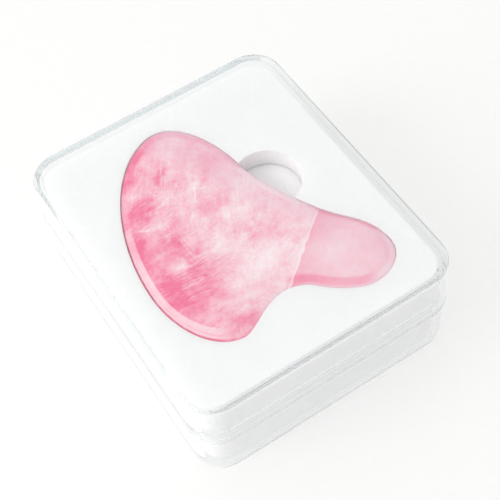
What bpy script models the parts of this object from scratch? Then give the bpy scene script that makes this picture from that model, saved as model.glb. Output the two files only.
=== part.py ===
"""Gua sha scraper in a clear two-part case with a die-cut foam insert.

Metres, +Z up. X is the case width, Y its length. The case stands on Z = 0 and is centred on the Z axis.
"""
import math

import bmesh
import bpy
from mathutils import Vector

# ---- driving dimensions -------------------------------------------------------------------------
MM = 0.001

CASE_WIDTH = 80.0 * MM          # X, at the base and at the top of the lid
CASE_LENGTH = 95.0 * MM         # Y
CASE_HEIGHT = 33.0 * MM
CORNER_RADIUS = 9.0 * MM
CORNER_STEPS = 10               # facets in each quarter round
WALL = 1.6 * MM
GAP = 0.3 * MM                  # clearance between pieces that touch on the real object

FLOOR = 2.0 * MM                # thickness of the tray's floor
SHOULDER_Z = 16.2 * MM          # top of the tray's shoulder, where the lid's rim stops
SHOULDER_THICKNESS = 1.6 * MM
LIP_TOP_Z = 20.2 * MM
LIP_OUTER_INSET = 1.5 * MM      # from the case's outer face
LIP_INNER_INSET = 2.8 * MM

LID_PLATE = 1.8 * MM
LID_FLARE = 0.6 * MM            # draft: how far the lid's rim stands out past its top

EDGE_ROUND = 0.5 * MM           # rounding along the case's long edges
SMALL_ROUND = 0.25 * MM         # break on the thin rims

LID_TO_FOAM = 0.9 * MM          # air between the lid's plate and the foam
FOAM_TOP_INSET = 2.8 * MM
FOAM_TOP_THICKNESS = 6.1 * MM
FOAM_PAD_INSET = 3.1 * MM
FOAM_EDGE = 0.25 * MM           # small break on the foam's cut edges

STONE_THICKNESS = 6.4 * MM
STONE_ROUND = 2.3 * MM          # width of the rounded edge seen from above
STONE_ROUND_RISE = 2.4 * MM     # height of that rounded edge
STONE_ROUND_STEPS = 4
STONE_CLEARANCE = 0.4 * MM      # die-cut opening past the stone's outline

NOTCH_X = 15.0 * MM
NOTCH_Y = 6.5 * MM
NOTCH_RADIUS = 9.8 * MM
NOTCH_STEPS = 48                # facets round the notch
CUT_OVERRUN = 2.0 * MM          # how far the cutting shapes run past the foam
NOTCH_OVERRUN = 2.5 * MM        # a little more, so that the two cutters' ends don't meet

# Scraper outline, clockwise from the tip: for each anchor its X, Y (mm), the direction the outline
# runs there (degrees), and the reach of the curve before and after it (mm).
STONE_ANCHORS = (
    (-7.75, 37.55, 23.0, 16.0, 12.5),      # rounded tip of the long blade
    (11.25, 16.55, -83.0, 11.0, 8.5),      # inner edge, by the finger notch
    (20.75, -9.45, -62.0, 8.0, 8.0),       # neck above the small lobe
    (30.75, -28.45, -87.0, 9.0, 7.0),      # end of the small lobe
    (15.25, -36.45, 152.0, 7.5, 10.5),     # underside of the small lobe
    (2.25, -26.95, 159.0, 6.0, 8.5),       # hollow between the two lobes
    (-17.25, -31.95, 173.0, 4.0, 8.5),     # low lobe of the blade
    (-30.75, -9.45, 91.0, 10.5, 17.5),     # middle of the long working edge
)
STONE_CURVE_STEPS = 12          # points on each stretch between two anchors

# ---- colours and finishes -------------------------------------------------------------------------
PLASTIC_COLOR = (0.93, 0.96, 0.96)
PLASTIC_ROUGHNESS = 0.03
PLASTIC_ALPHA = 0.25
FOAM_COLOR = (0.90, 0.91, 0.90)
FOAM_ROUGHNESS = 0.9
STONE_COLOR = (0.87, 0.45, 0.56)
STONE_ROUGHNESS = 0.15

# ---- levels that follow from them -----------------------------------------------------------------
LID_RIM_Z = SHOULDER_Z + GAP
LID_INNER_Z = CASE_HEIGHT - LID_PLATE
FOAM_TOP_Z1 = LID_INNER_Z - LID_TO_FOAM
FOAM_TOP_Z0 = FOAM_TOP_Z1 - FOAM_TOP_THICKNESS
FOAM_PAD_Z0 = FLOOR + GAP
FOAM_PAD_Z1 = FOAM_TOP_Z0 - GAP
STONE_Z0 = FOAM_PAD_Z1 + GAP


def clear_scene():
    for obj in list(bpy.data.objects):
        bpy.data.objects.remove(obj, do_unlink=True)


def material(name, color, roughness, alpha=1.0, transmission=0.0):
    mat = bpy.data.materials.new(name)
    mat.use_nodes = True
    shader = mat.node_tree.nodes["Principled BSDF"]
    shader.inputs["Base Color"].default_value = (*color, 1.0)
    shader.inputs["Roughness"].default_value = roughness
    shader.inputs["Alpha"].default_value = alpha
    shader.inputs["Transmission Weight"].default_value = transmission
    return mat


def rounded_rectangle(inset, z):
    """Points of the case's outline moved in by inset, anticlockwise."""
    half_w = CASE_WIDTH / 2 - inset
    half_l = CASE_LENGTH / 2 - inset
    radius = CORNER_RADIUS - inset
    points = []
    for sx, sy, start in ((1, 1, 0.0), (-1, 1, 90.0), (-1, -1, 180.0), (1, -1, 270.0)):
        cx = sx * (half_w - radius)
        cy = sy * (half_l - radius)
        for step in range(CORNER_STEPS + 1):
            angle = math.radians(start + 90.0 * step / CORNER_STEPS)
            points.append((cx + radius * math.cos(angle), cy + radius * math.sin(angle), z))
    return points


def stone_outline():
    """Closed outline as cubic curves between the anchors, anticlockwise, in metres."""
    points = []
    count = len(STONE_ANCHORS)
    for index in range(count):
        x0, y0, heading0, _, reach0 = STONE_ANCHORS[index]
        x3, y3, heading3, reach3, _ = STONE_ANCHORS[(index + 1) % count]
        a0 = math.radians(heading0)
        a3 = math.radians(heading3)
        p0 = Vector((x0, y0))
        p3 = Vector((x3, y3))
        p1 = p0 + reach0 * Vector((math.cos(a0), math.sin(a0)))
        p2 = p3 - reach3 * Vector((math.cos(a3), math.sin(a3)))
        for step in range(STONE_CURVE_STEPS):
            t = step / STONE_CURVE_STEPS
            s = 1.0 - t
            point = s**3 * p0 + 3 * s * s * t * p1 + 3 * s * t * t * p2 + t**3 * p3
            points.append(point * MM)
    points.reverse()
    return points


def offset_outline(points, distance):
    """Moves a closed anticlockwise outline outwards by distance (inwards when negative)."""
    moved = []
    count = len(points)
    for index in range(count):
        before = points[index - 1]
        after = points[(index + 1) % count]
        along = (after - before).normalized()
        normal = Vector((along.y, -along.x))
        moved.append(points[index] + normal * distance)
    return moved


def quarter_round(inset, z, radius, up, steps, inward=1):
    """Profile points where an upright side at inset turns into a level face at z, from side to face.

    up is 1 for a top edge and -1 for a bottom edge. inward is 1 where the face lies inside the side,
    and -1 where it lies outside.
    """
    points = []
    for step in range(steps + 1):
        angle = math.radians(90.0 * step / steps)
        across = inward * radius * (1.0 - math.cos(angle))
        rise = up * radius * (1.0 - math.sin(angle))
        points.append((inset + across, z - rise))
    return points


def stack_of_rings(name, rings):
    """One closed body: rings of equal length joined by strips, first and last ring capped."""
    bm = bmesh.new()
    layers = [[bm.verts.new(p) for p in ring] for ring in rings]
    count = len(rings[0])
    for low, high in zip(layers, layers[1:]):
        for index in range(count):
            nxt = (index + 1) % count
            bm.faces.new((low[index], low[nxt], high[nxt], high[index]))
    bm.faces.new(list(reversed(layers[0])))
    bm.faces.new(layers[-1])
    bmesh.ops.recalc_face_normals(bm, faces=bm.faces)
    mesh = bpy.data.meshes.new(name)
    bm.to_mesh(mesh)
    bm.free()
    obj = bpy.data.objects.new(name, mesh)
    bpy.context.scene.collection.objects.link(obj)
    return obj


def finished(obj, mat, smooth_angle=40.0):
    obj.data.materials.append(mat)
    obj.data.shade_smooth()
    obj.data.set_sharp_from_angle(angle=math.radians(smooth_angle))
    return obj


def case_rings(profile):
    return [rounded_rectangle(inset, z) for inset, z in profile]


def build_base(mat):
    under = SHOULDER_Z - SHOULDER_THICKNESS
    profile = quarter_round(0.0, 0.0, EDGE_ROUND, up=-1, steps=2)[::-1]
    profile += quarter_round(0.0, SHOULDER_Z, SMALL_ROUND, up=1, steps=1)
    profile.append((LIP_OUTER_INSET, SHOULDER_Z))
    profile += quarter_round(LIP_OUTER_INSET, LIP_TOP_Z, SMALL_ROUND, up=1, steps=1)
    profile += quarter_round(LIP_INNER_INSET, LIP_TOP_Z, SMALL_ROUND, up=1, steps=1, inward=-1)[::-1]
    profile.append((LIP_INNER_INSET, under))
    profile.append((WALL, under))
    profile += quarter_round(WALL, FLOOR, EDGE_ROUND, up=-1, steps=2)
    return finished(stack_of_rings("case_base", case_rings(profile)), mat)


def build_lid(mat):
    # The profile starts inside, under the plate, goes round the rim and ends on top of the plate.
    profile = quarter_round(WALL, LID_INNER_Z, EDGE_ROUND, up=1, steps=2)[::-1]
    profile += quarter_round(WALL - LID_FLARE, LID_RIM_Z, SMALL_ROUND, up=-1, steps=1, inward=-1)
    profile += quarter_round(-LID_FLARE, LID_RIM_Z, SMALL_ROUND, up=-1, steps=1)[::-1]
    profile += quarter_round(0.0, CASE_HEIGHT, EDGE_ROUND, up=1, steps=3)
    return finished(stack_of_rings("case_lid", case_rings(profile)), mat)


def build_stone(mat):
    outline = stone_outline()
    half = STONE_THICKNESS / 2
    mid = STONE_Z0 + half
    levels = []
    for step in range(STONE_ROUND_STEPS + 1):
        angle = math.radians(90.0 * step / STONE_ROUND_STEPS)
        inset = STONE_ROUND * (1.0 - math.sin(angle))
        rise = half - STONE_ROUND_RISE + STONE_ROUND_RISE * math.cos(angle)
        levels.append((inset, rise))
    rings = []
    for inset, rise in levels:
        moved = offset_outline(outline, -inset)
        rings.append([(p.x, p.y, mid - rise) for p in moved])
    for inset, rise in reversed(levels):
        moved = offset_outline(outline, -inset)
        rings.append([(p.x, p.y, mid + rise) for p in moved])
    return finished(stack_of_rings("scraper", rings), mat, smooth_angle=60.0)


def cutter(name, outline, low, high):
    """An upright prism that only cuts, so it isn't part of the object."""
    obj = stack_of_rings(name, [[(x, y, z) for x, y in outline] for z in (low, high)])
    obj.hide_render = True
    obj.display_type = "WIRE"
    return obj


def cut(obj, tool):
    modifier = obj.modifiers.new("cut_" + tool.name, "BOOLEAN")
    modifier.operation = "DIFFERENCE"
    modifier.solver = "EXACT"
    modifier.object = tool


def foam_sheet(name, inset, z0, z1, mat):
    profile = quarter_round(inset, z0, FOAM_EDGE, up=-1, steps=1)[::-1]
    profile += quarter_round(inset, z1, FOAM_EDGE, up=1, steps=1)
    return finished(stack_of_rings(name, case_rings(profile)), mat)


def build_foam_top(mat):
    sheet = foam_sheet("foam_top", FOAM_TOP_INSET, FOAM_TOP_Z0, FOAM_TOP_Z1, mat)
    opening = offset_outline(stone_outline(), STONE_CLEARANCE)
    circle = []
    for step in range(NOTCH_STEPS):
        angle = math.radians(360.0 * step / NOTCH_STEPS)
        circle.append((NOTCH_X + NOTCH_RADIUS * math.cos(angle), NOTCH_Y + NOTCH_RADIUS * math.sin(angle)))
    cut(sheet, cutter("cutter_stone", opening, FOAM_TOP_Z0 - CUT_OVERRUN, FOAM_TOP_Z1 + CUT_OVERRUN))
    cut(sheet, cutter("cutter_notch", circle, FOAM_TOP_Z0 - NOTCH_OVERRUN, FOAM_TOP_Z1 + NOTCH_OVERRUN))
    return sheet


def main():
    clear_scene()
    plastic = {"alpha": PLASTIC_ALPHA, "transmission": 1.0}
    lid_plastic = material("clear_plastic_lid", PLASTIC_COLOR, PLASTIC_ROUGHNESS, **plastic)
    base_plastic = material("clear_plastic_base", PLASTIC_COLOR, PLASTIC_ROUGHNESS, **plastic)
    white_foam_top = material("white_foam_top", FOAM_COLOR, FOAM_ROUGHNESS)
    white_foam_pad = material("white_foam_pad", FOAM_COLOR, FOAM_ROUGHNESS)
    rose_quartz = material("rose_quartz", STONE_COLOR, STONE_ROUGHNESS)

    build_base(base_plastic)
    build_lid(lid_plastic)
    build_foam_top(white_foam_top)
    foam_sheet("foam_pad", FOAM_PAD_INSET, FOAM_PAD_Z0, FOAM_PAD_Z1, white_foam_pad)
    build_stone(rose_quartz)


main()
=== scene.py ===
"""Looks for the gua sha scraper set: quartz blade, die-cut foam, clear two-part case, floor and light."""
import math

import bmesh
import bpy
import numpy as np
from mathutils import Matrix, Vector
from mathutils.geometry import delaunay_2d_cdt


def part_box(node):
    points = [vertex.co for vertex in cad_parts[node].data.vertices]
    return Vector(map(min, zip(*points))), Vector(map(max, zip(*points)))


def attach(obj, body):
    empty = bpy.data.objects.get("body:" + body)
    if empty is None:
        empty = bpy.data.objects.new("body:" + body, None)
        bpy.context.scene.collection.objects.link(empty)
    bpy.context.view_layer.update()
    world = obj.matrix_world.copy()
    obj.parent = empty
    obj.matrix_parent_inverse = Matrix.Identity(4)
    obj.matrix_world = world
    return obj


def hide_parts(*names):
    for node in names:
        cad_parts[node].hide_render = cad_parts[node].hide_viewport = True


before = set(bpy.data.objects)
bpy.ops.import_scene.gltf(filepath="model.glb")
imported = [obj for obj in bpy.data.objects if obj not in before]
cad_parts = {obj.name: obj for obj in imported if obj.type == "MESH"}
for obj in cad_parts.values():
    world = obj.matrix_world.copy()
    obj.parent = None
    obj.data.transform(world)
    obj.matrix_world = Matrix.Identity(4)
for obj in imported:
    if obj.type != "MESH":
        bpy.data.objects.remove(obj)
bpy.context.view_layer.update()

MM = 0.001

# ---- places read from the CAD -----------------------------------------------------------------------
BASE_LOW, BASE_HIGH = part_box("case_base")
LID_LOW, LID_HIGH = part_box("case_lid")
SHEET_LOW, SHEET_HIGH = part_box("foam_top")
PAD_LOW, PAD_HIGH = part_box("foam_pad")
STONE_LOW, STONE_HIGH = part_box("scraper")

CASE_WIDTH = BASE_HIGH.x - BASE_LOW.x
CASE_LENGTH = BASE_HIGH.y - BASE_LOW.y
LID_FLARE = (LID_HIGH.x - LID_LOW.x - CASE_WIDTH) / 2
SHEET_INSET = (CASE_WIDTH - (SHEET_HIGH.x - SHEET_LOW.x)) / 2
PAD_INSET = (CASE_WIDTH - (PAD_HIGH.x - PAD_LOW.x)) / 2
GAP = 0.3 * MM

# ---- the case's section, as the CAD has it ----------------------------------------------------------
CORNER_RADIUS = 9.0 * MM
LEAST_RADIUS = 1.0 * MM
CORNER_STEPS = 20
FILLET_STEPS = 4
WALL = 1.6 * MM
FLOOR = 2.0 * MM
SHOULDER_THICKNESS = 1.6 * MM
LIP_OUTER_INSET = 1.5 * MM
LIP_INNER_INSET = 2.8 * MM
LID_PLATE = 1.8 * MM
CAP_INSET = 8.0 * MM            # where the flat middle of a plate starts
UNDERSIDE_INSET = 6.0 * MM
BLOCK_CAP_INSET = PAD_INSET + 3.0 * MM
BLOCK_EDGE = 0.5 * MM
NOTCH_CENTRE = Vector((15.0 * MM, 6.5 * MM))
NOTCH_RADIUS = 9.8 * MM
NOTCH_STEPS = 72
CUT_CLEARANCE = 0.05 * MM
CUT_EDGE = 0.15 * MM
CUT_EDGE_SEGMENTS = 3
CUTTER_REACH = 2.0 * MM         # how far the blade's cutter stands out of the foam
NOTCH_REACH = 3.0 * MM          # and the notch's, which ends at another height
# Angles (degrees) above which an edge counts as sharp.
SHARP_ANGLE = 50.0
FOAM_SHARP_ANGLE = 40.0
FLAT_FACE_WEIGHT = 100

# ---- the stone's shape ------------------------------------------------------------------------------
OUTLINE_STEPS = 28
# Scraper outline, clockwise from the tip. Each anchor: X, Y (mm), the direction the outline runs there
# (degrees), the reach of the curve before and after it (mm), and how wide the ground bevel is there (mm).
STONE_ANCHORS = (
    (-7.75, 37.55, 23.0, 16.0, 12.5, 1.6),
    (11.25, 16.55, -83.0, 11.0, 8.5, 1.6),
    (20.75, -9.45, -62.0, 8.0, 8.0, 1.5),
    (30.75, -28.45, -87.0, 9.0, 7.0, 2.0),
    (15.25, -36.45, 152.0, 7.5, 10.5, 2.2),
    (2.25, -26.95, 159.0, 6.0, 8.5, 1.8),
    (-17.25, -31.95, 173.0, 4.0, 8.5, 4.2),
    (-30.75, -9.45, 91.0, 10.5, 17.5, 2.6),
)
# The bevel's section, from the edge in: share of the bevel's width, share of the height to its shoulder.
BEVEL_SECTION = (
    (0.0, 0.62), (0.02, 0.73), (0.06, 0.80), (0.13, 0.855), (0.25, 0.90),
    (0.46, 0.94), (0.72, 0.97), (0.95, 0.996), (1.0, 1.0), (1.06, 1.003),
)
FACE_SHARE = 2.0                # what the bevel's share is set to on the face
FACE_CROWN = 0.35 * MM
CROWN_RUN = 5.0 * MM            # how far in from the bevel most of the crown has risen
FACE_SPACING = 1.1 * MM         # between the points that the face is made of
ROW_SPACING = 0.866             # of their rows, as a share of that, for even triangles
FACE_MARGIN = 0.66 * MM         # the least distance of these points from the bevel
INSIDE_ONLY = 1                 # Blender's number for triangles inside the loop and nowhere else
SAME_POINT = 1e-7               # m

# ---- camera: where it looks, from where, and how wide -------------------------------------------------
CAMERA_TARGET = Vector((7.74 * MM, 7.72 * MM, 0.0))
CAMERA_DISTANCE = 347.5 * MM
CAMERA_AZIMUTH = -27.32
CAMERA_ELEVATION = 56.42
CAMERA_ROLL = -6.61
CAMERA_LENS = 84.4              # mm
CAMERA_SENSOR = 36.0            # mm
CAMERA_NEAREST = 0.01           # m

# ---- clear polystyrene: how it bends light, and the blue-grey that it takes on in its depth ------------
PLASTIC_IOR = 1.57
PLASTIC_TINT = (0.985, 0.985, 0.985, 1.0)
PLASTIC_DEPTH_TINT = (0.80, 0.84, 0.86, 1.0)
PLASTIC_DENSITY = 52.0          # per metre
PLASTIC_RELIEF = 0.004          # mm
SCUFF_RELIEF = 0.02             # of the scuffs, as a share of the waves
SCUFF_ROUGHNESS = 0.06
# How many times a ray may turn before the plastic lets it go straight on. It depends on the place, because
# the photo shows dark bands in some edges and none in others. Over each pair of places (mm) one count blends
# into the next.
FRONT_TURNS = 2
BACK_TURNS = 4
FRONT_TO_BACK = (-5.0, 5.0)     # along Y
SIDE_TO_REST = (2.0, 3.0)       # in from the left and right: in those walls it is one turn or none
RIM_LINE = (30.0, 30.5)         # height at which none becomes one
PLATE_TO_WALLS = (2.0, 2.3)     # height of the floor plate, where no ray turns
RIM_TO_PLATE = (1.8, 2.1)       # in from the plate's edge, which counts as wall
SEAM_HEIGHT = 15.5
SEAM_TO_REST = (2.5, 3.0)       # up and down from the seam between the two parts
SEAM_EXTRA = 3
HALF_CASE = (CASE_WIDTH / 2 / MM, CASE_LENGTH / 2 / MM, 0.0)

# ---- foam, sizes in mm ------------------------------------------------------------------------------------
FOAM_CELL = 0.42
FOAM_LUMP = 1.5
FOAM_WHITE = (0.975, 0.98, 0.97, 1.0)
FOAM_SHADE = (0.93, 0.94, 0.93, 1.0)
FOAM_RELIEF = 0.035
FOAM_SCATTER = 3.0

# ---- what is in the quartz; X, Y in mm -------------------------------------------------------------------
# Clouds: X, Y, reach along and across (mm), turn (degrees), and how much deeper (+) or paler (-) the pink is.
CLOUDS = (
    (-9.0, 34.5, 12.0, 4.2, 28.0, 0.30),
    (-18.0, 27.5, 6.0, 3.2, 52.0, 0.18),
    (-19.0, 17.5, 6.5, 4.2, -12.0, 0.30),
    (-8.0, 25.5, 7.0, 2.4, 56.0, 0.34),
    (-25.5, 6.5, 8.0, 4.0, 82.0, 0.32),
    (-16.5, -1.0, 9.0, 2.6, 88.0, 0.30),
    (-25.0, -8.5, 7.0, 5.5, 80.0, 0.34),
    (-14.0, -8.5, 9.0, 4.5, 0.0, 0.20),
    (-23.5, -16.0, 8.0, 5.5, -60.0, 0.18),
    (-16.0, -13.0, 7.0, 4.5, 10.0, 0.16),
    (-15.0, -28.0, 9.0, 3.0, 0.0, 0.26),
    (4.0, 21.0, 17.0, 8.0, 80.0, 0.20),
    (-2.0, 7.5, 7.0, 3.4, -5.0, 0.16),
    (5.0, -7.0, 9.0, 5.0, 10.0, 0.14),
    (-8.0, -5.0, 8.0, 6.0, 10.0, -0.20),
    (-7.0, -17.0, 11.0, 8.0, 80.0, -0.21),
    (-14.0, -22.5, 9.0, 4.0, 0.0, -0.18),
    (0.0, -15.0, 9.0, 6.5, 30.0, -0.14),
    (3.0, 4.0, 7.0, 4.0, 30.0, -0.10),
    (-8.0, 10.0, 7.0, 5.0, 20.0, -0.13),
    (11.0, 8.0, 12.0, 4.5, -70.0, -0.14),
    (-18.5, 23.5, 5.0, 3.2, -20.0, -0.15),
    (-13.5, 30.5, 5.0, 2.6, 30.0, -0.11),
    (-12.0, 16.5, 6.0, 2.4, 40.0, -0.11),
    (-20.5, -4.0, 5.0, 2.2, 0.0, -0.14),
    (-20.0, 11.0, 7.0, 2.0, -12.0, -0.14),
    (14.0, -22.0, 11.0, 7.5, 0.0, -0.18),
)
# Grain: X, Y, reach along and across, turn, then the length and width of its lines (mm) and their strength.
GRAIN = (
    (-13.0, -8.0, 11.0, 6.0, 0.0, 6.0, 0.36, 0.24),
    (-18.0, 0.0, 15.0, 10.0, 0.0, 4.0, 0.40, 0.14),
    (-16.0, 2.0, 12.0, 4.0, 88.0, 6.0, 0.34, 0.18),
    (-14.0, 20.0, 16.0, 13.0, 55.0, 3.0, 0.45, 0.12),
    (-12.0, 22.0, 14.0, 12.0, -15.0, 3.0, 0.40, 0.10),
    (4.0, 6.0, 20.0, 12.0, 60.0, 7.0, 0.5, 0.09),
    (0.0, -10.0, 14.0, 10.0, 5.0, 6.0, 0.45, 0.09),
    (16.0, -24.0, 16.0, 10.0, 25.0, 10.0, 1.0, 0.08),
    (-22.0, -11.0, 13.0, 9.0, -8.0, 4.0, 0.42, 0.24),
    (-20.0, 14.0, 11.0, 9.0, 8.0, 4.0, 0.45, 0.20),
    (-18.0, -24.0, 12.0, 6.0, 5.0, 5.0, 0.45, 0.14),
)
# Veins, the white lines of healed cracks: from X, Y to X, Y, width (mm) and strength.
VEINS = (
    (3.5, 3.5, 8.5, 12.5, 0.45, 0.20),
    (-7.0, 8.0, -1.5, 18.5, 0.45, 0.20),
    (-5.0, 15.5, 1.0, 13.0, 0.4, 0.18),
    (-11.0, 20.0, -5.0, 31.0, 0.45, 0.20),
    (-14.5, 22.0, -13.0, 17.5, 0.4, 0.20),
    (-25.0, 12.5, -17.0, 8.5, 0.5, 0.26),
    (-22.0, 6.5, -14.0, 5.8, 0.35, 0.18),
    (-24.0, -4.2, -16.0, -5.2, 0.4, 0.20),
    (-23.0, -10.8, -14.0, -11.5, 0.4, 0.20),
    (-17.5, 12.0, -18.2, -10.0, 0.35, 0.16),
    (-15.2, 8.0, -15.6, -10.0, 0.35, 0.16),
    (4.0, -6.0, 9.0, 4.0, 0.4, 0.14),
    (-21.0, 21.5, -13.0, 27.5, 0.45, 0.18),
    (-3.0, -10.0, 3.0, -2.0, 0.4, 0.12),
    (-12.0, 2.0, -6.0, 12.0, 0.4, 0.14),
    (-26.0, -14.0, -14.0, -15.5, 0.35, 0.18),
    (-24.5, 1.8, -13.0, 0.6, 0.35, 0.16),
    (-22.0, -18.6, -11.0, -19.4, 0.35, 0.14),
    (-21.0, 16.0, -11.0, 18.0, 0.4, 0.16),
)
# The crack across the neck of the small lobe, from X, Y to X, Y.
CRACK_FROM = (21.3, -9.7)
CRACK_TO = (1.4, -25.6)
# Bands along it: where each rises from and to and falls from and to (mm past the crack, towards the lobe),
# and how much deeper (+) or paler (-) it is. They are clear deeper stone, a white skin and a pale veil.
CRACK_BANDS = (
    (-0.2, 0.3, 0.0, 10.0, 0.26),
    (-0.6, -0.1, -0.1, 0.3, -0.22),
    (-5.0, 0.0, 0.0, 0.3, -0.12),
)
# Light caught inside the edge: X, Y, reach along and across, turn, where it starts and ends (mm in from the
# rim), and how much deeper (+) or paler (-) the pink is.
EDGE_GLOWS = (
    (11.0, -30.0, 13.5, 7.0, -28.0, 0.9, 2.6, 0.34),
    (26.0, -16.5, 13.0, 4.0, -56.0, 0.1, 0.6, 0.42),
    (29.0, -30.0, 6.0, 5.0, 60.0, 1.6, 2.4, 0.12),
    (-5.0, 34.0, 17.0, 8.0, 20.0, 0.5, 2.0, 0.24),
    (9.0, 25.0, 13.0, 5.0, -70.0, 0.3, 1.4, 0.16),
    (27.0, -33.5, 9.0, 8.0, 0.0, 0.4, 1.2, -0.16),
    (14.5, 4.0, 14.0, 5.0, -65.0, 0.4, 1.5, -0.24),
)
GLOW_RISE = (-0.4, 0.3)         # about where a glow starts (mm)
GLOW_FADE = 1.1                 # past where it ends (mm)
VEIN_LEVEL = 30.6               # height of the level on which all of these are centred (mm)
VEIN_DEPTH = 14.0               # how far they reach up and down from it (mm)
GRAIN_DEPTH = 4.0               # length of the grain's lines in height (mm)
# How deep the pink is before all of these: from X to X (mm), and from what to what.
TONE_SPAN = (-29.0, 3.0)
TONE_RANGE = (0.71, 0.31)
LOBE_GRAIN = 0.4                # strength of the grain past the crack
# The bevel's rounded nose, and the pale band and the line along it on the working edge, as shares of its
# width. The working edge is where the bevel is wide, on the left. The pale band is a painted highlight where
# the bevel faces the light from the left, and is paler also where the stone is thin. The nose gets painted
# shade.
BEVEL_NOSE = (0.05, 0.22)
BEVEL_PAINTED_HIGHLIGHT = (0.14, 0.28, 0.96, 1.04)
BEVEL_LINE = (0.36, 0.44, 0.46, 0.56)
WIDE_BEVEL = (1.9 * MM, 2.6 * MM)
WORKING_EDGE = (-23.0, -18.0)   # it ends between these X (mm)
HIGHLIGHT_PULL = 0.58                # share of the pink that the pale band, a painted highlight, takes away
# Painted shade on the nose: how much deeper the pink is there, on the working edge and anywhere else.
NOSE_PAINTED_SHADE = 0.30
NOSE_PAINTED_SHADE_ANYWHERE = 0.04
LINE_DEEPER = 0.16
# Pinks from the palest to the deepest, and the cooler one of the right-hand side.
PINKS = (
    (0.00, (0.985, 0.80, 0.83)),
    (0.20, (0.97, 0.68, 0.73)),
    (0.48, (0.94, 0.45, 0.55)),
    (0.75, (0.92, 0.24, 0.38)),
    (1.00, (0.88, 0.10, 0.26)),
)
COOL_PINK = (0.82, 0.49, 0.60, 1.0)
COOL_SPAN = (0.0, 16.0)         # mm
COOL_LEAN = 0.45                # how much Y counts beside X in that
COOL_LOBE = 0.6                 # at least this cool past the crack
COOL_MOST = 0.48
QUARTZ_IOR = 1.54
QUARTZ_ROUGHNESS = (0.07, 0.24)
QUARTZ_RELIEF = 0.03            # mm
QUARTZ_SCATTER = 1.2            # mm
SCATTER_SPAN = (0.2 * MM, 1.2 * MM)     # in from the rim
SCATTER_WEIGHT = (0.75, 0.2)

# ---- light: where the bright side of the room is, and how bright the two sides are ---------------------
KEY_DIRECTION = (-0.8, 0.5, 0.6)
KEY_LIGHT = 1.08
FILL_LIGHT = 0.49
FLOOR_GLOW = 0.55
SOFTBOX_PLACE = (-0.80, 0.16, 0.50)
SOFTBOX_SIDE = 0.5
SOFTBOX_WATTS = 3.2
KEY_TO_FILL = 0.9               # how far the two sides of the room blend into each other, of 1
FLOOR_SIDE = 4.0
FLOOR_DROP = 0.2 * MM
FLOOR_GREYS = ((0.375, 0.375, 0.37, 1.0), (0.40, 0.40, 0.395, 1.0))
FLOOR_GLOW_COLOUR = (1.0, 1.0, 0.99, 1.0)
# Bounces that one clear wall behind another needs.
MOST_BOUNCES = 32
GLOSSY_BOUNCES = 24


# ---- meshes -----------------------------------------------------------------------------------------------
def rounded_rectangle(inset, z):
    """Points of the case's outline moved in by inset, anticlockwise."""
    half_w = CASE_WIDTH / 2 - inset
    half_l = CASE_LENGTH / 2 - inset
    radius = max(CORNER_RADIUS - inset, LEAST_RADIUS)
    points = []
    for sx, sy, start in ((1, 1, 0.0), (-1, 1, 90.0), (-1, -1, 180.0), (1, -1, 270.0)):
        cx = sx * (half_w - radius)
        cy = sy * (half_l - radius)
        for step in range(CORNER_STEPS + 1):
            angle = math.radians(start + 90.0 * step / CORNER_STEPS)
            points.append((cx + radius * math.cos(angle), cy + radius * math.sin(angle), z))
    return points


def fillet(corner, before, after, radius):
    """Rounds one corner of a section: points of a quarter curve from the side before to the side after."""
    corner = Vector(corner)
    a = corner + (Vector(before) - corner).normalized() * radius
    b = corner + (Vector(after) - corner).normalized() * radius
    points = []
    for step in range(FILLET_STEPS + 1):
        t = step / FILLET_STEPS
        point = (1 - t) ** 2 * a + 2 * t * (1 - t) * corner + t * t * b
        points.append((point.x, point.y))
    return points


def rounded_section(corners):
    """A section as (inset, z) points from corners given as (inset, z, radius); ends stay sharp."""
    points = [corners[0][:2]]
    for index in range(1, len(corners) - 1):
        inset, z, radius = corners[index]
        if radius > 0:
            points += fillet((inset, z), corners[index - 1][:2], corners[index + 1][:2], radius)
        else:
            points.append((inset, z))
    points.append(corners[-1][:2])
    return points


def new_object(name, mesh):
    obj = bpy.data.objects.new(name, mesh)
    bpy.context.scene.collection.objects.link(obj)
    return obj


def closed_body(name, rings):
    """One closed body: rings of equal length joined by strips, first and last ring capped."""
    bm = bmesh.new()
    layers = [[bm.verts.new(p) for p in ring] for ring in rings]
    for low, high in zip(layers, layers[1:]):
        join_loops(bm, low, high)
    bm.faces.new(list(reversed(layers[0])))
    bm.faces.new(layers[-1])
    return finished(name, bm)


def join_loops(bm, low, high):
    """A strip of faces between two closed loops of as many points."""
    count = len(low)
    for i in range(count):
        j = (i + 1) % count
        bm.faces.new((low[i], low[j], high[j], high[i]))


def finished(name, bm):
    """The object that a bmesh has been built for."""
    bmesh.ops.recalc_face_normals(bm, faces=bm.faces)
    mesh = bpy.data.meshes.new(name)
    bm.to_mesh(mesh)
    bm.free()
    return new_object(name, mesh)


def ring_body(name, rings):
    """A closed body with smooth shading, apart from its sharp edges."""
    obj = closed_body(name, rings)
    obj.data.shade_smooth()
    obj.data.set_sharp_from_angle(angle=math.radians(SHARP_ANGLE))
    weigh_normals(obj)
    return obj


def prism(name, loop, low, high):
    """An upright closed body on a loop of (x, y) points."""
    return closed_body(name, [[(x, y, z) for x, y in loop] for z in (low, high)])


def weigh_normals(obj):
    """Keeps the wide flat faces flat where they meet small rounded edges."""
    modifier = obj.modifiers.new("weighted_normals", "WEIGHTED_NORMAL")
    modifier.keep_sharp = True
    modifier.weight = FLAT_FACE_WEIGHT


def bake_modifiers(obj):
    """Replaces an object's mesh with what its modifiers make of it."""
    graph = bpy.context.evaluated_depsgraph_get()
    mesh = bpy.data.meshes.new_from_object(obj.evaluated_get(graph), depsgraph=graph)
    old = obj.data
    obj.modifiers.clear()
    obj.data = mesh
    mesh.name = obj.name
    bpy.data.meshes.remove(old)


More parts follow.
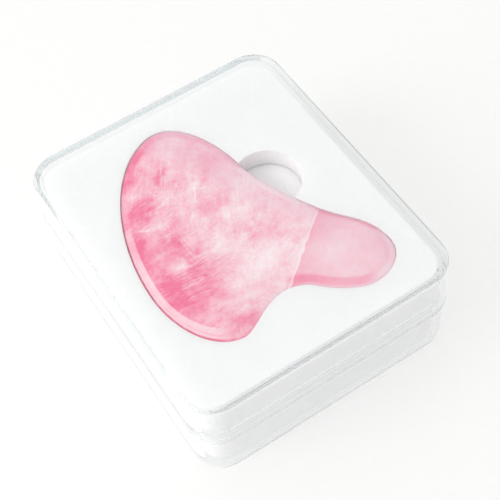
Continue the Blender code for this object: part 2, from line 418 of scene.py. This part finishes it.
def stone_outline():
    """Closed outline, anticlockwise, in metres, with the bevel's width at each point."""
    rows = []
    count = len(STONE_ANCHORS)
    for index in range(count):
        x0, y0, heading0, _, reach0, bevel0 = STONE_ANCHORS[index]
        x3, y3, heading3, reach3, _, bevel3 = STONE_ANCHORS[(index + 1) % count]
        p0 = np.array((x0, y0))
        p3 = np.array((x3, y3))
        p1 = p0 + reach0 * np.array((math.cos(math.radians(heading0)), math.sin(math.radians(heading0))))
        p2 = p3 - reach3 * np.array((math.cos(math.radians(heading3)), math.sin(math.radians(heading3))))
        for step in range(OUTLINE_STEPS):
            t = step / OUTLINE_STEPS
            s = 1.0 - t
            point = s**3 * p0 + 3 * s * s * t * p1 + 3 * s * t * t * p2 + t**3 * p3
            ease = t * t * (3 - 2 * t)
            rows.append((point[0], point[1], bevel0 + (bevel3 - bevel0) * ease))
    rows.reverse()
    rows = np.array(rows) * MM
    return rows[:, :2], rows[:, 2]


def outward_normals(points):
    """Unit normals at the points of a closed anticlockwise loop."""
    along = np.roll(points, -1, axis=0) - np.roll(points, 1, axis=0)
    along /= np.linalg.norm(along, axis=1)[:, None]
    return np.stack((along[:, 1], -along[:, 0]), axis=1)


def distance_to_loop(points, loop):
    """Distance of each point to a closed polyline."""
    start = loop
    run = np.roll(loop, -1, axis=0) - start
    best = np.full(len(points), np.inf)
    for a, d in zip(start, run):
        offset = points - a
        t = np.clip(offset @ d / (d @ d), 0, 1)
        best = np.minimum(best, np.linalg.norm(offset - t[:, None] * d, axis=1))
    return best


def inside_loop(points, loop):
    """Which points lie inside a closed polyline (even-odd rule)."""
    x, y = points[:, 0], points[:, 1]
    inside = np.zeros(len(points), bool)
    for (x0, y0), (x1, y1) in zip(loop, np.roll(loop, -1, axis=0)):
        crosses = (y0 > y) != (y1 > y)
        with np.errstate(divide="ignore", invalid="ignore"):
            at = (x1 - x0) * (y - y0) / (y1 - y0) + x0
        inside ^= crosses & (x < at)
    return inside


def fill_face(outline, inner):
    """Evenly spaced points and triangles that fill the inner loop, whose own points come first."""
    xs = np.arange(outline[:, 0].min(), outline[:, 0].max(), FACE_SPACING)
    ys = np.arange(outline[:, 1].min(), outline[:, 1].max(), FACE_SPACING * ROW_SPACING)
    grid = np.array([(x + (row % 2) * FACE_SPACING / 2, y) for row, y in enumerate(ys) for x in xs])
    grid = grid[inside_loop(grid, inner)]
    grid = grid[distance_to_loop(grid, inner) > FACE_MARGIN]
    count = len(inner)
    points = [Vector(p) for p in np.vstack((inner, grid))]
    edges = [(i, (i + 1) % count) for i in range(count)]
    flat, _, triangles, *_ = delaunay_2d_cdt(points, edges, [], INSIDE_ONLY, SAME_POINT)
    return np.array(flat), triangles


def make_blade():
    """The stone: ground bevel all round, wider along the working edge, and a slightly domed face."""
    outline, bevel = stone_outline()
    normals = outward_normals(outline)
    half = (STONE_HIGH.z - STONE_LOW.z) / 2
    middle = (STONE_HIGH.z + STONE_LOW.z) / 2
    shoulder = half - FACE_CROWN
    rings = [
        (outline - normals * (bevel * share)[:, None], rise * shoulder, share)
        for share, rise in BEVEL_SECTION
    ]
    inner, inner_rise, _ = rings[-1]

    count = len(inner)
    flat, faces = fill_face(outline, inner)
    depth = distance_to_loop(flat, inner)
    from_rim = distance_to_loop(flat, outline)
    lift = (FACE_CROWN - (inner_rise - shoulder)) * (1 - np.exp(-depth / CROWN_RUN))

    bm = bmesh.new()
    share_layer = bm.verts.layers.float.new("bevel_share")
    width_layer = bm.verts.layers.float.new("bevel_width")
    rim_layer = bm.verts.layers.float.new("from_rim")

    def vertex(x, y, z, share, width, rim):
        vert = bm.verts.new((x, y, z))
        vert[share_layer] = share
        vert[width_layer] = width
        vert[rim_layer] = rim
        return vert

    layers = {}
    for side in (1, -1):
        layers[side] = []
        for ring, rise, share in rings:
            layers[side].append([
                vertex(x, y, middle + side * rise, share, width, share * width)
                for (x, y), width in zip(ring, bevel)
            ])
        cap = layers[side][-1][:]
        for (x, y), up, rim in list(zip(flat, lift, from_rim))[count:]:
            cap.append(vertex(x, y, middle + side * (inner_rise + up), FACE_SHARE, 0.0, rim))
        for face in faces:
            corners = [cap[i] for i in (face if side == 1 else reversed(face))]
            bm.faces.new(corners)
        for low, high in zip(layers[side], layers[side][1:]):
            join_loops(bm, low, high)
    join_loops(bm, layers[-1][0], layers[1][0])
    blade = finished("quartz_blade", bm)
    blade.data.shade_smooth()
    return blade


def make_foam_sheet():
    """Top sheet of foam, die-cut with the blade's outline and the finger notch."""
    low, high = SHEET_LOW.z, SHEET_HIGH.z
    loop = [(x, y) for x, y, _ in rounded_rectangle(SHEET_INSET, 0.0)]
    sheet = prism("foam_sheet", loop, low, high)
    outline, _ = stone_outline()
    opening = outline + outward_normals(outline) * CUT_CLEARANCE
    cutters = [prism("cut_blade", opening, low - CUTTER_REACH, high + CUTTER_REACH)]
    circle = []
    for step in range(NOTCH_STEPS):
        angle = math.radians(360.0 / NOTCH_STEPS * step)
        circle.append((NOTCH_CENTRE.x + NOTCH_RADIUS * math.cos(angle),
                       NOTCH_CENTRE.y + NOTCH_RADIUS * math.sin(angle)))
    cutters.append(prism("cut_notch", circle, low - NOTCH_REACH, high + NOTCH_REACH))
    for tool in cutters:
        modifier = sheet.modifiers.new("cut", "BOOLEAN")
        modifier.operation = "DIFFERENCE"
        modifier.solver = "EXACT"
        modifier.object = tool
    edge = sheet.modifiers.new("soft_edge", "BEVEL")
    edge.width = CUT_EDGE
    edge.segments = CUT_EDGE_SEGMENTS
    edge.limit_method = "ANGLE"
    edge.angle_limit = math.radians(SHARP_ANGLE)
    bake_modifiers(sheet)
    for tool in cutters:
        bpy.data.objects.remove(tool, do_unlink=True)
    sheet.data.shade_smooth()
    sheet.data.set_sharp_from_angle(angle=math.radians(FOAM_SHARP_ANGLE))
    weigh_normals(sheet)
    return sheet


def make_foam_block():
    """Block of foam under the sheet, with softened edges."""
    section = rounded_section((
        (BLOCK_CAP_INSET, PAD_LOW.z, 0),
        (PAD_INSET, PAD_LOW.z, BLOCK_EDGE),
        (PAD_INSET, PAD_HIGH.z, BLOCK_EDGE),
        (BLOCK_CAP_INSET, PAD_HIGH.z, 0),
    ))
    return ring_body("foam_block", [rounded_rectangle(inset, z) for inset, z in section])


def make_base_shell():
    """The tray, from under its floor up the outside, over the shoulder and the lip, and down the inside."""
    top = BASE_HIGH.z
    shoulder = LID_LOW.z - GAP
    under = shoulder - SHOULDER_THICKNESS
    section = rounded_section((
        (UNDERSIDE_INSET, 0.0, 0),
        (0.0, 0.0, 0.5 * MM),
        (0.0, shoulder, 0.25 * MM),
        (LIP_OUTER_INSET, shoulder, 0.15 * MM),
        (LIP_OUTER_INSET, top, 0.3 * MM),
        (LIP_INNER_INSET, top, 0.3 * MM),
        (LIP_INNER_INSET, under, 0.2 * MM),
        (WALL, under, 0.3 * MM),
        (WALL, FLOOR, 0.6 * MM),
        (CAP_INSET, FLOOR, 0),
    ))
    return ring_body("base_shell", [rounded_rectangle(inset, z) for inset, z in section])


def make_lid_shell():
    """The lid, from the inside of its plate down to the rim and up the outside. Its walls flare a little."""
    top = LID_HIGH.z
    rim = LID_LOW.z
    inner = top - LID_PLATE
    section = rounded_section((
        (CAP_INSET, inner, 0),
        (WALL, inner, 0.4 * MM),
        (WALL - LID_FLARE, rim, 0.15 * MM),
        (-LID_FLARE, rim, 0.25 * MM),
        (0.0, top, 0.35 * MM),
        (CAP_INSET, top, 0),
    ))
    return ring_body("lid_shell", [rounded_rectangle(inset, z) for inset, z in section])


# ---- materials -------------------------------------------------------------------------------------------
class Look:
    """A material's nodes, with one short method for each kind that the looks below are made of."""

    def __init__(self, name):
        self.material = bpy.data.materials.new(name)
        self.material.use_nodes = True
        self.tree = self.material.node_tree
        self.shader = self.tree.nodes["Principled BSDF"]
        self.output = self.tree.nodes["Material Output"]
        metres = self.node("ShaderNodeTexCoord").outputs["Object"]
        self.place = self.scaled(metres, 1 / MM)

    def node(self, kind, inputs=(), **settings):
        """A new node with its settings, and each input set to a value or linked to a socket."""
        node = self.tree.nodes.new(kind)
        for key, value in settings.items():
            setattr(node, key, value)
        self.feed(node, dict(inputs))
        return node

    def feed(self, node, inputs):
        for key, value in inputs.items():
            if isinstance(value, bpy.types.NodeSocket):
                self.tree.links.new(value, node.inputs[key])
            else:
                node.inputs[key].default_value = value

    def attribute(self, name):
        return self.node("ShaderNodeAttribute", attribute_name=name).outputs["Fac"]

    def math(self, operation, *values):
        return self.node("ShaderNodeMath", enumerate(values), operation=operation).outputs[0]

    def vector(self, operation, *values):
        return self.node("ShaderNodeVectorMath", enumerate(values), operation=operation).outputs[0]

    def scaled(self, vector, factor):
        return self.node("ShaderNodeVectorMath", {0: vector, "Scale": factor}, operation="SCALE").outputs[0]

    def parts(self, vector):
        """The X, Y and Z of a vector."""
        return self.node("ShaderNodeSeparateXYZ", {0: vector}).outputs

    def add_all(self, *values):
        total = values[0]
        for value in values[1:]:
            total = self.math("ADD", total, value)
        return total

    def noise(self, size, swing, detail=2.0, place=None):
        """Clouds about size millimetres across, from -swing to swing."""
        inputs = {"Vector": place or self.place, "Scale": 1 / size, "Detail": detail}
        value = self.node("ShaderNodeTexNoise", inputs).outputs["Fac"]
        return self.math("MULTIPLY_ADD", value, 4 * swing, -2 * swing)

    def cells(self, size, place=None):
        """Distance from the middle of cells about size millimetres across."""
        inputs = {"Vector": place or self.place, "Scale": 1 / size}
        return self.node("ShaderNodeTexVoronoi", inputs).outputs["Distance"]

    def stretched(self, x, y, z, turn=0.0, place=None):
        """The place, with patterns drawn out x, y and z times as long after a turn about Z."""
        inputs = {"Vector": place or self.place, "Scale": (x, y, z), "Rotation": (0, 0, math.radians(turn))}
        return self.node("ShaderNodeMapping", inputs, vector_type="TEXTURE").outputs[0]

    def warped(self, size, swing):
        """The place, pushed about by clouds, so that what is drawn on it loses its straight edges."""
        inputs = {"Vector": self.place, "Scale": 1 / size, "Detail": 5.0}
        clouds = self.node("ShaderNodeTexNoise", inputs).outputs["Color"]
        push = self.scaled(self.vector("SUBTRACT", clouds, (0.5, 0.5, 0.5)), 2 * swing)
        return self.vector("ADD", self.place, push)

    def spot(self, place, x, y, along, across, turn):
        """1 at one spot of the stone, falling to 0 on an ellipsoid around it."""
        inputs = {"Vector": place, "Location": (x, y, VEIN_LEVEL), "Rotation": (0, 0, math.radians(turn)),
                  "Scale": (along, across, VEIN_DEPTH)}
        inside = self.node("ShaderNodeMapping", inputs, vector_type="TEXTURE").outputs[0]
        gradient = self.node("ShaderNodeTexGradient", {"Vector": inside}, gradient_type="SPHERICAL")
        return gradient.outputs["Fac"]

    def ramp(self, value, low, high, to_low=0.0, to_high=1.0):
        inputs = {"Value": value, "From Min": low, "From Max": high, "To Min": to_low, "To Max": to_high}
        return self.node("ShaderNodeMapRange", inputs, interpolation_type="SMOOTHSTEP").outputs[0]

    def band(self, value, rise, full, fall, gone):
        """Rises from 0 to 1 between rise and full, and falls back between fall and gone."""
        return self.math("MULTIPLY", self.ramp(value, rise, full), self.ramp(value, fall, gone, 1.0, 0.0))

    def mix(self, factor, a, b):
        return self.node("ShaderNodeMix", {0: factor, 6: a, 7: b}, data_type="RGBA").outputs[2]

    def colours(self, value, *stops):
        """A colour ramp with stops given as (position, (r, g, b))."""
        node = self.node("ShaderNodeValToRGB", {0: value})
        elements = node.color_ramp.elements
        while len(elements) < len(stops):
            elements.new(0.5)
        for element, (position, colour) in zip(elements, stops):
            element.position = position
            element.color = (*colour, 1.0)
        return node.outputs["Color"]

    def bump(self, height, relief):
        """Raises the surface by relief millimetres where height is 1."""
        node = self.node("ShaderNodeBump", {"Height": height, "Distance": relief * MM, "Strength": 1.0})
        self.feed(self.shader, {"Normal": node.outputs[0]})


def turns_allowed(look):
    """How many times a ray may turn in the plastic, by place: see the named values above."""
    place = look.parts(look.place)
    inset = look.parts(look.vector("SUBTRACT", HALF_CASE, look.vector("ABSOLUTE", look.place)))
    ends = look.ramp(place["Y"], *FRONT_TO_BACK, FRONT_TURNS, BACK_TURNS)
    beside = look.ramp(inset["X"], *SIDE_TO_REST, 1.0, 0.0)
    sides = look.ramp(place["Z"], *RIM_LINE)
    walls = look.math("MULTIPLY_ADD", beside, look.math("SUBTRACT", sides, ends), ends)
    low = look.ramp(place["Z"], *PLATE_TO_WALLS, 1.0, 0.0)
    plate = look.math("MULTIPLY", low, look.ramp(look.math("MINIMUM", inset["X"], inset["Y"]), *RIM_TO_PLATE))
    from_seam = look.math("ABSOLUTE", look.math("SUBTRACT", place["Z"], SEAM_HEIGHT))
    seam = look.ramp(from_seam, *SEAM_TO_REST, SEAM_EXTRA, 0.0)
    return look.math("ADD", look.math("MULTIPLY", look.math("SUBTRACT", 1.0, plate), walls), seam)


def clear_plastic(name):
    """Polystyrene. Rays from lamps and from matt surfaces go straight through, so the inside is lit."""
    look = Look(name)
    scuffs = look.noise(size=5.0, swing=1.0, detail=6.0, place=look.stretched(6.0, 0.25, 1.0, turn=35.0))
    patches = look.noise(size=22.0, swing=1.0)
    waves = look.noise(size=16.0, swing=0.3)
    look.feed(look.shader, {
        "Base Color": PLASTIC_TINT,
        "Transmission Weight": 1.0,
        "IOR": PLASTIC_IOR,
        "Roughness": look.ramp(look.math("ADD", scuffs, patches), 1.5, 3.0, 0.0, SCUFF_ROUGHNESS),
    })
    look.bump(look.math("MULTIPLY_ADD", scuffs, SCUFF_RELIEF, waves), PLASTIC_RELIEF)
    path = look.node("ShaderNodeLightPath").outputs
    deep = look.math("GREATER_THAN", path["Ray Depth"], turns_allowed(look))
    straight = look.math("MAXIMUM", look.math("MAXIMUM", path["Is Shadow Ray"], path["Is Diffuse Ray"]), deep)
    through = look.node("ShaderNodeBsdfTransparent", {"Color": PLASTIC_TINT})
    both = look.node("ShaderNodeMixShader", {0: straight, 1: look.shader.outputs[0], 2: through.outputs[0]})
    depth = {"Color": PLASTIC_DEPTH_TINT, "Density": PLASTIC_DENSITY}
    inside = look.node("ShaderNodeVolumeAbsorption", depth)
    look.feed(look.output, {"Surface": both.outputs[0], "Volume": inside.outputs[0]})
    return look.material


def white_foam(name):
    """Closed-cell foam: fine cells on the skin, and cut marks down the walls."""
    look = Look(name)
    fine = look.cells(FOAM_CELL)
    coarse = look.cells(FOAM_LUMP, place=look.warped(size=3.0, swing=0.5))
    speckle = look.math("ADD", look.math("MULTIPLY", fine, 0.5), look.math("MULTIPLY", coarse, 0.3))
    shade = look.math("ADD", look.noise(size=14.0, swing=0.3), speckle)
    upright = look.parts(look.node("ShaderNodeNewGeometry").outputs["Normal"])["Z"]
    wall = look.math("SUBTRACT", 1.0, look.math("ABSOLUTE", upright))
    cuts = look.math("MULTIPLY", look.noise(size=0.8, swing=1.0, place=look.stretched(1.0, 1.0, 14.0)), wall)
    look.feed(look.shader, {
        "Base Color": look.mix(look.ramp(shade, -0.2, 1.0), FOAM_WHITE, FOAM_SHADE),
        "Roughness": look.ramp(fine, 0.0, 0.7, 0.78, 0.95),
        "Subsurface Weight": 0.5,
        "Subsurface Radius": (1.0, 1.0, 1.0),
        "Subsurface Scale": FOAM_SCATTER * MM,
        "Specular IOR Level": 0.3,
    })
    look.bump(look.add_all(fine, look.math("MULTIPLY", coarse, 0.8), cuts), FOAM_RELIEF)
    return look.material


def past_crack(look, place):
    """How far past the crack a place is, in mm, towards the small lobe."""
    start, end = Vector(CRACK_FROM), Vector(CRACK_TO)
    to_lobe = Vector((start.y - end.y, end.x - start.x, 0.0)).normalized()
    reach = look.node("ShaderNodeVectorMath", {0: place, 1: to_lobe}, operation="DOT_PRODUCT")
    return look.math("SUBTRACT", reach.outputs["Value"], to_lobe.xy.dot(start))


def with_clouds(look, tone, place):
    for x, y, along, across, turn, deeper in CLOUDS:
        cloud = look.ramp(look.spot(place, x, y, along, across, turn), 0.0, 0.9)
        tone = look.math("MULTIPLY_ADD", cloud, deeper, tone)
    return tone


def mottling(look, loose, crisp):
    """Fine marks all over the stone, and the grain's lines where the photo shows them."""
    slanting = look.stretched(6.0, 0.9, 5.0, turn=55.0, place=crisp)
    marks = look.add_all(
        look.noise(size=6.0, swing=0.22, detail=8.0, place=loose),
        look.noise(size=2.2, swing=0.13, detail=5.0, place=crisp),
        look.noise(size=1.0, swing=0.05, detail=5.0, place=slanting),
        look.noise(size=0.8, swing=0.10, detail=6.0),
    )
    for x, y, along, across, turn, length, width, strength in GRAIN:
        here = look.ramp(look.spot(look.place, x, y, along, across, turn), 0.0, 0.5)
        drawn = look.stretched(length, width, GRAIN_DEPTH, turn=turn, place=crisp)
        lines = look.noise(size=1.0, swing=strength, detail=4.0, place=drawn)
        marks = look.math("MULTIPLY_ADD", here, lines, marks)
    return marks


def with_veins(look, tone, place):
    """Pale lines, each broken up here and there."""
    broken = look.ramp(look.noise(size=3.5, swing=1.0), -0.7, 0.3)
    for x0, y0, x1, y1, width, whiter in VEINS:
        turn = math.degrees(math.atan2(y1 - y0, x1 - x0))
        half = math.hypot(x1 - x0, y1 - y0) / 2 + width
        line = look.ramp(look.spot(place, (x0 + x1) / 2, (y0 + y1) / 2, half, width, turn), 0.0, 0.8)
        tone = look.math("MULTIPLY_ADD", look.math("MULTIPLY", line, broken), -whiter, tone)
    return tone


def with_crack(look, tone, past):
    for *edges, deeper in CRACK_BANDS:
        tone = look.math("MULTIPLY_ADD", look.band(past, *edges), deeper, tone)
    return tone


def with_bevel(look, tone, x):
    """Painted shade on the nose, and on the working edge a pale painted highlight with a deeper line along
    it.
    """
    share = look.attribute("bevel_share")
    broad = look.ramp(look.attribute("bevel_width"), *WIDE_BEVEL)
    working = look.math("MULTIPLY", broad, look.ramp(x, *WORKING_EDGE, 1.0, 0.0))
    pale = look.math("MULTIPLY", look.band(share, *BEVEL_PAINTED_HIGHLIGHT), working)
    nose = look.ramp(share, *BEVEL_NOSE, 1.0, 0.0)
    line = look.math("MULTIPLY", look.band(share, *BEVEL_LINE), working)
    # Painted highlight: the pale band on the left bevel, where the bevel faces the light.
    tone = look.math("MULTIPLY", tone, look.math("SUBTRACT", 1.0, look.math("MULTIPLY", pale, HIGHLIGHT_PULL)))
    # Painted shade: deeper pink along the nose, most on the working edge.
    deeper = look.math("MULTIPLY_ADD", working, NOSE_PAINTED_SHADE, NOSE_PAINTED_SHADE_ANYWHERE)
    tone = look.math("MULTIPLY_ADD", nose, deeper, tone)
    return look.math("MULTIPLY_ADD", line, LINE_DEEPER, tone)


def with_edge_glows(look, tone, from_rim):
    for x, y, along, across, turn, near, far, deeper in EDGE_GLOWS:
        here = look.ramp(look.spot(look.place, x, y, along, across, turn), 0.0, 0.4)
        rise = [(near + step) * MM for step in GLOW_RISE]
        line = look.band(from_rim, *rise, far * MM, (far + GLOW_FADE) * MM)
        tone = look.math("MULTIPLY_ADD", look.math("MULTIPLY", line, here), deeper, tone)
    return tone


def cooled(look, pink, place, past):
    """Turns the pink cooler towards the right and past the crack."""
    lifted = look.math("MULTIPLY_ADD", place["Y"], COOL_LEAN, place["X"])
    cool = look.math("ADD", look.ramp(lifted, *COOL_SPAN), look.noise(size=8.0, swing=0.35))
    cool = look.math("MAXIMUM", cool, look.math("MULTIPLY", look.ramp(past, 0.0, 0.4), COOL_LOBE))
    return look.mix(look.ramp(cool, 0.0, 1.3, 0.0, COOL_MOST), pink, COOL_PINK)


def rose_quartz():
    """Milky pink stone: clouds, grain and healed cracks through its depth; painted highlight and shade on the
    bevel.
    """
    look = Look("rose_quartz")
    place = look.parts(look.place)
    loose = look.warped(size=8.0, swing=2.6)
    crisp = look.warped(size=2.2, swing=0.6)
    past = past_crack(look, crisp)
    from_rim = look.attribute("from_rim")

    tone = look.ramp(place["X"], *TONE_SPAN, *TONE_RANGE)
    tone = with_clouds(look, tone, loose)
    strength = look.ramp(past, 0.0, 0.5, 1.0, LOBE_GRAIN)
    tone = look.math("MULTIPLY_ADD", mottling(look, loose, crisp), strength, tone)
    tone = with_veins(look, tone, crisp)
    tone = with_crack(look, tone, past)
    tone = with_bevel(look, tone, place["X"])
    tone = with_edge_glows(look, tone, from_rim)

    wear = look.noise(size=1.0, swing=0.6, detail=4.0, place=look.stretched(9.0, 0.35, 1.0, turn=50.0))
    worn = look.math("ADD", wear, look.noise(size=9.0, swing=0.4))
    look.feed(look.shader, {
        "Base Color": cooled(look, look.colours(tone, *PINKS), place, past),
        "Roughness": look.ramp(worn, -0.4, 1.5, *QUARTZ_ROUGHNESS),
        "IOR": QUARTZ_IOR,
        "Subsurface Weight": look.ramp(from_rim, *SCATTER_SPAN, *SCATTER_WEIGHT),
        "Subsurface Radius": (1.0, 0.55, 0.65),
        "Subsurface Scale": QUARTZ_SCATTER * MM,
    })
    look.bump(look.math("MULTIPLY_ADD", wear, 0.10, look.noise(size=7.0, swing=0.4)), QUARTZ_RELIEF)
    return look.material


# ---- stage ----------------------------------------------------------------------------------------------
def make_stage():
    """A white table that glows a little, as paper lit from all round does."""
    bpy.ops.mesh.primitive_plane_add(size=FLOOR_SIDE, location=(0, 0, -FLOOR_DROP))
    floor = bpy.context.object
    floor.name = "studio_floor"
    look = Look("studio_floor")
    fibres = look.noise(size=2.5, swing=0.6, detail=6.0)
    look.feed(look.shader, {
        "Base Color": look.mix(look.ramp(fibres, -1.0, 1.0), *FLOOR_GREYS),
        "Roughness": look.ramp(fibres, -1.0, 1.0, 0.75, 0.9),
        "Emission Color": FLOOR_GLOW_COLOUR,
        "Emission Strength": FLOOR_GLOW,
    })
    look.bump(fibres, 0.02)
    floor.data.materials.append(look.material)


def make_light():
    """A white room: bright from the left and behind, dimmer low down on the camera's side."""
    world = bpy.data.worlds.new("studio")
    bpy.context.scene.world = world
    world.use_nodes = True
    tree = world.node_tree
    where = tree.nodes.new("ShaderNodeTexCoord")
    toward = tree.nodes.new("ShaderNodeVectorMath")
    toward.operation = "DOT_PRODUCT"
    toward.inputs[1].default_value = Vector(KEY_DIRECTION).normalized()
    tree.links.new(where.outputs["Generated"], toward.inputs[0])
    level = tree.nodes.new("ShaderNodeMapRange")
    level.interpolation_type = "SMOOTHERSTEP"
    level.inputs["From Min"].default_value = -KEY_TO_FILL
    level.inputs["From Max"].default_value = KEY_TO_FILL
    level.inputs["To Min"].default_value = FILL_LIGHT
    level.inputs["To Max"].default_value = KEY_LIGHT
    tree.links.new(toward.outputs["Value"], level.inputs["Value"])
    background = tree.nodes["Background"]
    background.inputs["Color"].default_value = (1.0, 1.0, 1.0, 1.0)
    tree.links.new(level.outputs[0], background.inputs["Strength"])

    softbox = bpy.data.lights.new("softbox", "AREA")
    softbox.size = SOFTBOX_SIDE
    softbox.energy = SOFTBOX_WATTS
    lamp = new_object("softbox", softbox)
    lamp.location = SOFTBOX_PLACE
    lamp.rotation_euler = Vector(SOFTBOX_PLACE).to_track_quat("Z", "Y").to_euler()


def make_camera():
    data = bpy.data.cameras.new("camera")
    data.lens = CAMERA_LENS
    data.sensor_width = CAMERA_SENSOR
    data.clip_start = CAMERA_NEAREST
    camera = new_object("camera", data)
    azimuth = math.radians(CAMERA_AZIMUTH)
    elevation = math.radians(CAMERA_ELEVATION)
    back = Vector((
        math.sin(azimuth) * math.cos(elevation),
        -math.cos(azimuth) * math.cos(elevation),
        math.sin(elevation),
    ))
    right = Vector((0, 0, 1)).cross(back).normalized()
    up = back.cross(right)
    turn = Matrix((right, up, back)).transposed() @ Matrix.Rotation(math.radians(CAMERA_ROLL), 3, "Z")
    camera.matrix_world = Matrix.Translation(CAMERA_TARGET + back * CAMERA_DISTANCE) @ turn.to_4x4()
    bpy.context.scene.camera = camera


def place(piece, body, node, slot, mat):
    """Gives a piece its material and its body, and hides the CAD node that it stands for. The slot is not
    used.
    """
    piece.data.materials.clear()
    piece.data.materials.append(mat)
    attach(piece, body)
    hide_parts(node)


make_camera()
make_stage()
make_light()
scene = bpy.context.scene
scene.view_settings.view_transform = "Standard"
scene.cycles.max_bounces = MOST_BOUNCES
scene.cycles.glossy_bounces = GLOSSY_BOUNCES
scene.cycles.transmission_bounces = MOST_BOUNCES

place(make_blade(), "stone", "scraper", "rose_quartz", rose_quartz())
sheet = make_foam_sheet()
place(sheet, "case", "foam_top", "white_foam", white_foam("foam_sheet"))
block = make_foam_block()
place(block, "case", "foam_pad", "white_foam", white_foam("foam_block"))
place(make_base_shell(), "case", "case_base", "clear_base", clear_plastic("clear_base"))
place(make_lid_shell(), "lid", "case_lid", "clear_lid", clear_plastic("clear_lid"))
